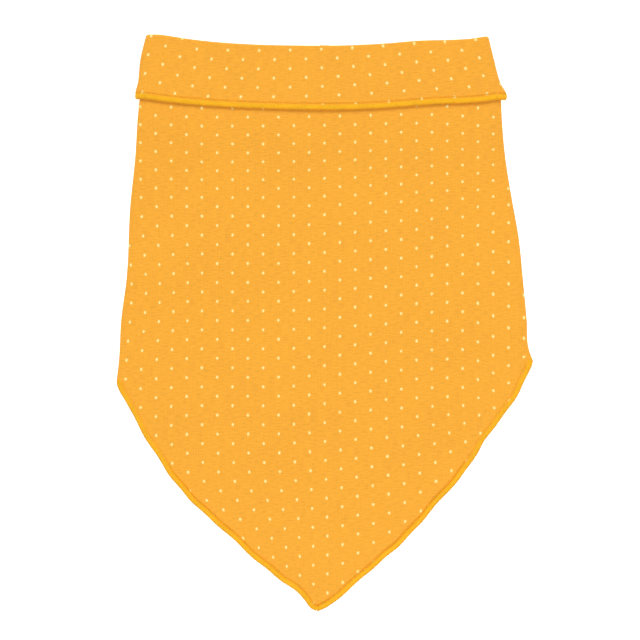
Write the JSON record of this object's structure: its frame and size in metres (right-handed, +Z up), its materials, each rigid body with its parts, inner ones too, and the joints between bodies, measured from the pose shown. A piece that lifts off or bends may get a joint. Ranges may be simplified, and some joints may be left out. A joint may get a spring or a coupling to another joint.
{
  "type": "slip-on baby bib",
  "caption": "Slip-on bandana bib of dotted cotton jersey, lying flat: a two-ply tube with a turned-down collar, a kerchief point in front and overlocked hems.",
  "frame": {"origin": "middle of the footprint of the bib as it lies flat, on the surface it lies on", "axes": "X across the bib, Y from the kerchief point up to the neck, Z up out of the front of the bib"},
  "size_m": [0.208, 0.288, 0.0068],
  "materials": {
    "dotted_jersey": "matt cotton jersey, orange-yellow with small cream dots",
    "overlock_thread": "soft twisted polyester thread, slightly more saturated yellow"
  },
  "bodies": {
    "bib_body": {"shell_front_neck": "dotted_jersey", "shell_front_chest": "dotted_jersey", "shell_front_point": "dotted_jersey", "lining_front_neck": "dotted_jersey", "lining_front_chest": "dotted_jersey", "lining_front_point": "dotted_jersey", "shell_back_neck": "dotted_jersey", "shell_back_chest": "dotted_jersey", "lining_back_neck": "dotted_jersey", "lining_back_chest": "dotted_jersey", "shell_side_left": "dotted_jersey", "shell_side_right": "dotted_jersey", "lining_side_left": "dotted_jersey", "lining_side_right": "dotted_jersey", "bottom_hem_left": "overlock_thread", "bottom_hem_right": "overlock_thread", "bottom_hem_back": "overlock_thread", "back_seam": "overlock_thread"},
    "collar_front": {"collar_front_shell": "dotted_jersey", "collar_front_lining": "dotted_jersey", "collar_front_hem": "overlock_thread"},
    "collar_back": {"collar_back_shell": "dotted_jersey", "collar_back_lining": "dotted_jersey", "collar_back_hem": "overlock_thread", "collar_back_seam": "overlock_thread"}
  },
  "joints": [
    {"name": "collar_front_turn", "type": "hinge", "parent": "bib_body", "child": "collar_front", "pos_m": [0, 0.1444, 0.00515], "axis": [-1, 0, 0], "range_deg": [0, 180]},
    {"name": "collar_back_turn", "type": "hinge", "parent": "bib_body", "child": "collar_back", "pos_m": [0, 0.1444, 0.0016], "axis": [1, 0, 0], "range_deg": [0, 180]}
  ],
  "couplings": [
    {"joint": "collar_back_turn", "follows": "collar_front_turn", "ratio": 1}
  ]
}
